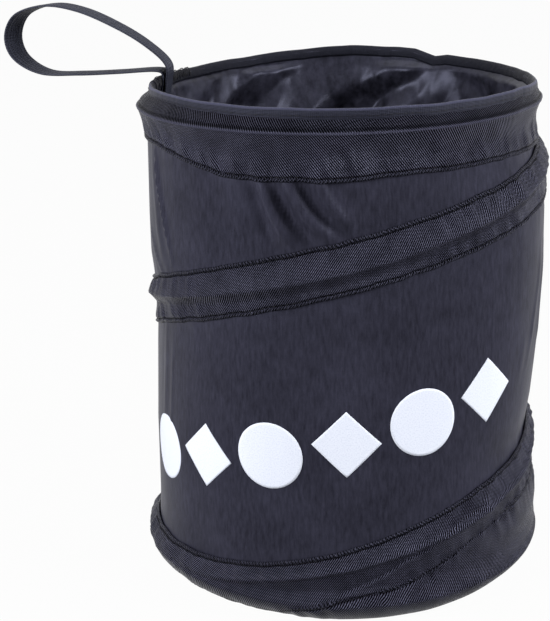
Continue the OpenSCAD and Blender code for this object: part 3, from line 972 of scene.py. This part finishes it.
def makeBinding():
    a = evenAngles(binding["around"])
    section = bindingSection()
    out, up = bindingShape(a)
    r = binding["outR"] + out[:, None] + section[None, :, 0]
    z = form["rimTop"] + up[:, None] + section[None, :, 1]
    steps = np.hypot(*(np.roll(section, -1, axis=0) - section).T)
    v = np.concatenate([[0], np.cumsum(steps)])
    piece = clothObject("rimBinding", polar(a[:, None], r, z), uvGrid(aroundU(a), v),
                        materials["binding"], loopU=True, loopV=True)
    attach(piece, "rim", "binding_tape", "rim_binding", folds=False)


makeBinding()

# Webbing loop: a flat ribbed strap on one smooth route, both ends sewn inside the rim
strap = {
    "width": 10.0, "thick": 1.1, "ribs": 7, "rib": 0.1, "across": 42, "cuts": 12,
    "az": 171.0, "outR": 74.5, "inR": 73.2, "tailZ": 189.2,
}


# Points and turns of the webbing, the same route as the solid's
def strapRoute():
    def atRim(r, z):
        return list(polar(strap["az"], r + float(rimLean(strap["az"], z)), z))
    outR, inR, edge, top = strap["outR"], strap["inR"], form["edgeZ"], form["rimTop"]
    points = [atRim(outR, strap["tailZ"]), atRim(outR, edge - 3), atRim(outR + 0.6, edge + 1),
              atRim(outR + 4.6, top + 1.4), [-91, 17, 203], [-108, 21, 202], [-124, 26, 202],
              [-135, 29, 208], [-138, 30, 217], [-133, 29, 226], [-120, 25, 230],
              [-106, 21, 228], [-91, 16, 222], [-79, 13, 215], atRim(inR + 0.3, top + 4),
              atRim(inR, edge - 3), atRim(inR, strap["tailZ"])]
    turns = [9, 9, 9, 10, 14, 19, 28, 36, 38, 36, 30, 22, 16, 11, 9, 9, 9]
    return np.array(points, float), np.array(turns, float)


# A smooth curve through rows of values, with that many steps between two of them
def smoothThrough(values, cuts):
    last = len(values) - 1
    rows = []
    for i in range(last):
        p0, p1 = values[max(0, i - 1)], values[i]
        p2, p3 = values[i + 1], values[min(last, i + 2)]
        for j in range(cuts):
            s = j / cuts
            rows.append(p1 + 0.5 * s * (p2 - p0 + s * (
                2 * p0 - 5 * p1 + 4 * p2 - p3 + s * (3 * p1 - p0 - 3 * p2 + p3))))
    rows.append(values[-1])
    return np.array(rows)


def makeStrap():
    points, turns = strapRoute()
    path, turn = smoothThrough(points, strap["cuts"]), smoothThrough(turns, strap["cuts"])
    along = np.gradient(path, axis=0)
    along /= np.linalg.norm(along, axis=1, keepdims=True)
    level = np.stack([-np.sin(np.radians(turn)), -np.cos(np.radians(turn)), 0 * turn], axis=-1)
    wide = level - np.sum(level * along, axis=1, keepdims=True) * along
    wide /= np.linalg.norm(wide, axis=1, keepdims=True)
    thick = np.cross(wide, along)
    # Section: across one face and back across the other, ribbed, with rounded selvedges
    s = np.linspace(-1, 1, strap["across"])
    body = np.sqrt(np.clip(1 - np.abs(s) ** 7, 0, 1))
    ribbed = body * (strap["thick"] / 2 - strap["rib"]
                     + strap["rib"] * np.cos(s * strap["ribs"] * np.pi))
    across = np.concatenate([s, s[::-1][1:-1]]) * strap["width"] / 2
    out = np.concatenate([ribbed, -ribbed[::-1][1:-1]])
    grid = (path[:, None, :] + wide[:, None, :] * across[None, :, None]
            + thick[:, None, :] * out[None, :, None])
    grid = grid[:, ::-1]
    lengths = np.concatenate([[0], np.cumsum(np.linalg.norm(np.diff(path, axis=0), axis=1))])
    v = closed(across)[::-1]
    piece = clothObject("handleStrap", grid, uvGrid(lengths, v), materials["webbing"],
                        loopV=True)
    capEnds(piece)
    attach(piece, "rim", "webbing", "handle_strap", folds=False)
    print("webbing length, mm:", round(float(lengths[-1]), 1))


# Closes the two open ends of a swept piece
def capEnds(piece):
    shape = bmesh.new()
    shape.from_mesh(piece.data)
    openEdges = [e for e in shape.edges if e.is_boundary]
    bmesh.ops.holes_fill(shape, edges=openEdges, sides=0)
    bmesh.ops.recalc_face_normals(shape, faces=shape.faces)
    shape.to_mesh(piece.data)
    shape.free()


makeStrap()
print("binding and webbing made")

# Print: a plain row of discs and lozenges in white ink, climbing to the right
printed = {
    "count": 6, "size": 27.0, "z": 72.0, "az": -100.0, "step": 22.0, "climb": 6.5,
    "stand": 0.12, "thick": 0.15, "rings": 14, "spokes": 72,
}


def makePrint():
    grids = []
    turn = np.linspace(0, 2 * np.pi, printed["spokes"], endpoint=False)
    share = np.linspace(0, 1, printed["rings"])[:, None]
    for i in range(printed["count"]):
        k = i - (printed["count"] - 1) / 2
        a0, z0 = printed["az"] + printed["step"] * k, printed["z"] + printed["climb"] * k
        if i % 2 == 0:
            reach = np.full(turn.shape, printed["size"] / 2)
        else:
            half = printed["size"] * 0.7 / math.sqrt(2)
            reach = half / (np.abs(np.cos(turn)) + np.abs(np.sin(turn)))
        x, y = share * reach * np.cos(turn), share * reach * np.sin(turn)
        z = z0 + y
        a = a0 + np.degrees(x / wallR(z))
        r = wallSurface(a, z) + printed["stand"]
        grids.append((polar(a, r, z), np.stack([a * degree, z], axis=-1)))
    piece = joinDiscs("frontPrint", grids)
    solid = piece.modifiers.new("ink", "SOLIDIFY")
    solid.thickness = printed["thick"] * mm
    solid.offset = -1.0
    attach(piece, "base", "white_ink", "front_print")


# Printed shapes as one mesh: rings of points round each centre, the centre closed by a fan
def joinDiscs(name, grids):
    points, faces, uvs = [], [], []
    for grid, uv in grids:
        rings, spokes = grid.shape[:2]
        base = len(points)
        for rows, kept in ((grid, points), (uv, uvs)):
            kept.append(rows[0, 0])
            for row in range(1, rings):
                kept.extend(rows[row])
        for s in range(spokes):
            s2 = (s + 1) % spokes
            faces.append([base, base + 1 + s, base + 1 + s2])
            for row in range(1, rings - 1):
                low, high = base + 1 + (row - 1) * spokes, base + 1 + row * spokes
                faces.append([low + s, high + s, high + s2, low + s2])
    mesh = bpy.data.meshes.new(name)
    mesh.from_pydata((np.array(points) * mm).tolist(), [], faces)
    layer = mesh.uv_layers.new(name="cloth")
    for corner in mesh.loops:
        layer.data[corner.index].uv = uvs[corner.vertex_index]
    mesh.shade_smooth()
    mesh.materials.append(materials["ink"])
    return addObject(name, mesh)


makePrint()
print("print made")

# Stitches: one tree lays a sunk thread along every stitch line of a body, another sweeps a cord
stitch = {"spacing": 2.6, "length": 1.8, "thread": 0.27, "sink": -0.02}
# Overcast by hand round the binding, where the webbing is sewn in
overcast = {"cord": 0.45, "wraps": 26, "cuts": 16, "az": 149, "span": 36, "stray": 0.5,
            "inside": 1.05, "below": 2.0, "wide": 1.55, "high": 2.25, "uneven": 0.3}


# A tree that takes lines of points, the named sizes and a material
def startTree(name, *sizes):
    tree = bpy.data.node_groups.new(name, "GeometryNodeTree")
    face, sockets = tree.interface, {}
    face.new_socket("Geometry", in_out="INPUT", socket_type="NodeSocketGeometry")
    for label in sizes + ("Material",):
        kind = "NodeSocketMaterial" if label == "Material" else "NodeSocketFloat"
        sockets[label] = face.new_socket(label, in_out="INPUT", socket_type=kind)
    face.new_socket("Geometry", in_out="OUTPUT", socket_type="NodeSocketGeometry")
    start = addNode(tree, "NodeGroupInput").outputs
    curve = output(tree, "GeometryNodeMeshToCurve", "Curve", {"Mesh": start["Geometry"]})
    return tree, {label: socket.identifier for label, socket in sockets.items()}, start, curve


def endTree(tree, start, geometry):
    smooth = output(tree, "GeometryNodeSetShadeSmooth", "Geometry", {"Geometry": geometry})
    painted = output(tree, "GeometryNodeSetMaterial", "Geometry", {
        "Geometry": smooth, "Material": start["Material"]})
    addNode(tree, "NodeGroupOutput", {"Geometry": painted})


def stitchTree():
    tree, inputs, start, curve = startTree("stitch_line", "Spacing", "Length", "Thread")
    even = output(tree, "GeometryNodeResampleCurve", "Curve", {
        "Curve": curve, "Length": start["Spacing"]}, mode="LENGTH")
    bead = output(tree, "GeometryNodeMeshUVSphere", "Mesh", {
        "Segments": 8, "Rings": 6, "Radius": 0.5})
    size = output(tree, "ShaderNodeCombineXYZ", "Vector", {
        "X": start["Thread"], "Y": start["Thread"], "Z": start["Length"]})
    thread = output(tree, "GeometryNodeTransform", "Geometry", {"Geometry": bead, "Scale": size})
    tangent = output(tree, "GeometryNodeInputTangent", "Tangent")
    turn = output(tree, "FunctionNodeAlignRotationToVector", "Rotation", {"Vector": tangent},
                  axis="Z")
    varied = output(tree, "FunctionNodeRandomValue", "Value", {
        "Min": (0.75, 0.75, 0.6), "Max": (1.1, 1.1, 1.15), "Seed": 7}, data_type="FLOAT_VECTOR")
    placed = output(tree, "GeometryNodeInstanceOnPoints", "Instances", {
        "Points": even, "Instance": thread, "Rotation": turn, "Scale": varied})
    real = output(tree, "GeometryNodeRealizeInstances", "Geometry", {"Geometry": placed})
    endTree(tree, start, real)
    return tree, inputs


def cordTree():
    tree, inputs, start, curve = startTree("sewing_thread", "Thread")
    half = maths(tree, "MULTIPLY", start["Thread"], 0.5)
    ring = output(tree, "GeometryNodeCurvePrimitiveCircle", "Curve", {
        "Resolution": 8, "Radius": half})
    tube = output(tree, "GeometryNodeCurveToMesh", "Mesh", {
        "Curve": curve, "Profile Curve": ring, "Fill Caps": True})
    endTree(tree, start, tube)
    return tree, inputs


trees = {"stitches": stitchTree(), "cord": cordTree()}


# Runs a node tree over lines of points in millimetres and keeps its result as a mesh
def runNodes(name, lines, treeName, **sizes):
    tree, inputs = trees[treeName]
    points, edges = [], []
    for line, ring in lines:
        first = len(points)
        points.extend((line * mm).tolist())
        edges.extend([[first + i, first + i + 1] for i in range(len(line) - 1)])
        if ring:
            edges.append([first + len(line) - 1, first])
    guide = bpy.data.meshes.new(name + "Guide")
    guide.from_pydata(points, edges, [])
    carrier = addObject(name + "Guide", guide)
    modifier = carrier.modifiers.new("nodes", "NODES")
    modifier.node_group = tree
    for label, size in sizes.items():
        modifier[inputs[label]] = size * mm
    modifier[inputs["Material"]] = materials["thread"]
    bpy.context.view_layer.update()
    mesh = bpy.data.meshes.new_from_object(
        carrier.evaluated_get(bpy.context.evaluated_depsgraph_get()))
    mesh.name = name
    bpy.data.objects.remove(carrier)
    return addObject(name, mesh)


def sewn(name, lines):
    return runNodes(name, lines, "stitches", Spacing=stitch["spacing"], Length=stitch["length"],
                    Thread=stitch["thread"])


def makeStitches():
    inset, sink = band["stitchIn"], stitch["sink"]
    a = evenAngles(band["around"])
    low = rimLowLine(a)
    z = low + inset
    r = bodyR(a, z) + tapeOffset(a, z, z - low, np.full(z.shape, unsewn), 11)
    attach(sewn("rimBandStitches", [(polar(a, r + sink, z), True)]), "rim", "twill_tape")

    top = baseTopLine(a)
    z = top - inset
    r = bodyR(a, z) + baseOffset(a, z, top)
    lines = [(polar(a, r + sink, z), True)]
    t, low, top = helixRun()
    wideEnough = (top - low) > 2 * inset + 1
    for z in (low + inset, top - inset):
        r = bodyR(t, z) + helixOffset(t, z, low, top)
        lines.append((polar(t, r + sink, z)[wideEnough], False))
    t = np.linspace(lapSeam["t"][1], lapSeam["t"][-1] - 1, 90)
    z = np.interp(t, lapSeam["t"], lapSeam["z"]) + lapSeam["grooveUp"]
    low, top = helixEdges(t)
    lines.append((polar(t, bodyR(t, z) + helixOffset(t, z, low, top) + sink, z), False))
    attach(sewn("bodyStitches", lines), "base", "twill_tape")

    turns = np.linspace(0, overcast["wraps"], overcast["wraps"] * overcast["cuts"])
    a2 = (overcast["az"] + overcast["span"] * turns / overcast["wraps"]
          + overcast["stray"] * np.sin(turns * 5.1))
    out, up = bindingShape(a2)
    high = overcast["high"] + overcast["uneven"] * np.sin(turns * 2.3)
    around = np.radians(360 * turns)
    r = binding["outR"] + out - overcast["inside"] + overcast["wide"] * np.cos(around)
    z = form["rimTop"] + up - overcast["below"] + high * np.sin(around)
    cord = runNodes("overcastThread", [(polar(a2, r, z), False)], "cord", Thread=overcast["cord"])
    attach(cord, "rim", "binding_tape", folds=False)

    out, up = bindingShape(a)
    line = polar(a, binding["outR"] + out + 0.2, form["rimTop"] - 2.7 + up)
    attach(sewn("bindingStitches", [(line, True)]), "rim", "binding_tape", folds=False)


makeStitches()
print("stitches made")


# Spring wire and its crimped sleeves, hidden in the tapes
sleeve = {"half": 3.5, "radius": 1.35, "sides": 24, "cuts": 9, "bendR": 82}


def sweepTube(name, t, z, outline):
    path = polar(t, wallR(z) + bodySwell(t, z) + wire["stand"], z)
    grid = (path[:, None, :] + polar(t, 1.0, 0.0)[:, None, :] * outline[None, :, 0, None]
            + np.array([0, 0, 1.0]) * outline[None, :, 1, None])
    maps = uvGrid(np.linspace(0, 1, len(path)), np.linspace(0, 1, len(outline) + 1))
    piece = clothObject(name, grid, maps, materials["steel"], loopV=True)
    capEnds(piece)
    return piece


def roundOutline(radius, sides):
    turn = np.linspace(0, 2 * np.pi, sides, endpoint=False)
    return np.stack([np.cos(turn), np.sin(turn)], -1) * radius


def makeWire():
    t = np.linspace(wireStart, wireEnd, 560)
    piece = sweepTube("coilSpring", t, wireZ(t), roundOutline(wire["diameter"] / 2, 10))
    attach(piece, "base", "spring_steel", "coil_spring")
    reach = math.degrees(sleeve["half"] / sleeve["bendR"])
    for name, node, body, at in (
            ("footFerrule", "foot_ferrule", "base", wireStart + wire["ringLap"] / 3),
            ("rimFerrule", "rim_ferrule", "rim", wireEnd - 360 - wire["ringLap"] / 3)):
        t = np.linspace(at - reach, at + reach, sleeve["cuts"])
        first, second = wireZ(at), wireZ(at + 360)
        outline = roundOutline(sleeve["radius"], sleeve["sides"])
        turn = np.linspace(0, 2 * np.pi, sleeve["sides"], endpoint=False)
        outline[:, 1] += (second - first) / 2 * np.sign(np.sin(turn))
        piece = sweepTube(name, t, (first + second) / 2, outline)
        attach(piece, body, "spring_steel", node)


makeWire()


# How the round panels are cut into rings, and how far short of the cloth round them they stop
disc = {"around": 120, "middle": 0.02, "edge": 0.985, "over": 26, "under": 8, "flatTo": 0.5,
        "panelGap": 0.2, "floorGap": 1.0, "ruffle": 0.6}


# A round cloth panel with a soft edge and a few shallow waves; reach is its radius round it
def clothDisc(name, reach, lowZ, highZ, material, ruffle):
    a = evenAngles(len(reach))
    profile = [(s, highZ) for s in np.linspace(disc["middle"], disc["edge"], disc["over"])]
    profile += [(1.0, (lowZ + highZ) / 2)]
    profile += [(s, lowZ) for s in np.linspace(disc["edge"], disc["middle"], disc["under"])]
    profile = np.array(profile)
    r = reach[:, None] * profile[None, :, 0]
    lift = ruffle * noiseField(a[:, None], r, 40.0, 12.0, 51) * (profile[None, :, 1] == highZ)
    lift = lift * smoothStep(profile[None, :, 0] / disc["flatTo"])
    grid = polar(a[:, None], r, profile[None, :, 1] + lift)[:, ::-1]
    piece = clothObject(name, grid, closed(grid[..., :2]), material, loopU=True)
    capEnds(piece)
    return piece


def makeBase():
    a = evenAngles(disc["around"])
    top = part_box("base_panel")[1][2] / mm
    reach = bodyR(a, 0.0) + footSlope(0.0) + band["flat"] - band["thick"] - disc["panelGap"]
    panel = clothDisc("basePanel", reach, 0.0, top, materials["tape"], 0.0)
    attach(panel, "base", "twill_tape", "base_panel")
    low, high = (corner[2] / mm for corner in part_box("lining_floor"))
    reach = bodyR(a, low) - form["clothT"] - disc["floorGap"]
    floor = clothDisc("liningFloor", reach, low, high, materials["lining"], disc["ruffle"])
    attach(floor, "base", "lining_cloth", "lining_floor")


makeBase()
print("wire and base made")

# Camera at the photograph's viewing angle. Its sensor is as high as the photo, whose focal length
# and height are in pixels.
cameraAt = {"distance": 0.57698, "height": 0.2924, "pitch": 18.1378, "roll": -1.3858,
            "yaw": -2.8084, "sensor": 36, "focal": 1429.97, "photoHigh": 621}


def makeCamera():
    yaw, pitch, roll = (math.radians(cameraAt[k]) for k in ("yaw", "pitch", "roll"))
    forward = Vector((math.sin(yaw) * math.cos(pitch), math.cos(yaw) * math.cos(pitch),
                      -math.sin(pitch)))
    right = Vector((math.cos(yaw), -math.sin(yaw), 0))
    up = right.cross(forward)
    tilted = right * math.cos(roll) + up * math.sin(roll)
    upright = up * math.cos(roll) - right * math.sin(roll)
    data = bpy.data.cameras.new("camera")
    data.lens = cameraAt["sensor"] * cameraAt["focal"] / cameraAt["photoHigh"]
    data.sensor_width = cameraAt["sensor"]
    camera = addObject("camera", data)
    camera.matrix_world = Matrix.Translation((0, -cameraAt["distance"], cameraAt["height"])) \
        @ Matrix((tilted, upright, -forward)).transposed().to_4x4()
    bpy.context.scene.camera = camera


makeCamera()

# Plain pale floor and soft light from both sides, as in a product photo
stage = {"floor": 8.0, "white": 0.97, "ambient": 0.09, "paper": "#969696", "aimZ": 0.12}
lamps = {
    "leftBox": {"at": (-0.61, -0.46, 0.46), "size": (0.3, 0.45), "watts": 8.2},
    "rightBox": {"at": (0.70, -0.27, 0.46), "size": (0.3, 0.45), "watts": 8.1},
    "topBox": {"at": (0.0, 0.1, 0.95), "size": (0.4, 0.4), "watts": 2.0},
}


# 1 for rays that see the backdrop itself, 0 for those that only bring its light
def seenRays(tree):
    rays = addNode(tree, "ShaderNodeLightPath").outputs
    seen = rays["Is Camera Ray"]
    for other in ("Is Glossy Ray", "Is Transmission Ray"):
        seen = maths(tree, "MAXIMUM", seen, rays[other])
    return seen


def makeStage():
    half = stage["floor"]
    mesh = bpy.data.meshes.new("floor")
    mesh.from_pydata([(-half, -half, 0), (half, -half, 0), (half, half, 0), (-half, half, 0)],
                     [], [[0, 1, 2, 3]])
    floor = addObject("floor", mesh)
    material, tree = newMaterial("paper_backdrop")
    share = maths(tree, "MULTIPLY", seenRays(tree), stage["white"])
    matt = output(tree, "ShaderNodeBsdfDiffuse", "BSDF", {"Color": hexLinear(stage["paper"])})
    glow = output(tree, "ShaderNodeEmission", "Emission", {
        "Color": (1, 1, 1, 1), "Strength": 1.0})
    both = output(tree, "ShaderNodeMixShader", "Shader", {"Fac": share, 1: matt, 2: glow})
    addNode(tree, "ShaderNodeOutputMaterial", {"Surface": both})
    mesh.materials.append(material)

    world = bpy.data.worlds.new("world")
    bpy.context.scene.world = world
    world.use_nodes = True
    tree = world.node_tree
    tree.nodes.clear()
    strength = between(tree, seenRays(tree), 0.0, 1.0, stage["ambient"], 1.0)
    sky = output(tree, "ShaderNodeBackground", "Background", {
        "Color": (1, 1, 1, 1), "Strength": strength})
    addNode(tree, "ShaderNodeOutputWorld", {"Surface": sky})

    for name, lamp in lamps.items():
        data = bpy.data.lights.new(name, "AREA")
        data.shape = "RECTANGLE"
        data.size, data.size_y = lamp["size"]
        data.energy = lamp["watts"]
        place = Vector(lamp["at"])
        aim = (Vector((0, 0, stage["aimZ"])) - place).to_track_quat("-Z", "Y")
        addObject(name, data).matrix_world = Matrix.Translation(place) @ aim.to_matrix().to_4x4()


makeStage()
bpy.context.scene.view_settings.view_transform = "Standard"
print("camera, floor and lamps made")
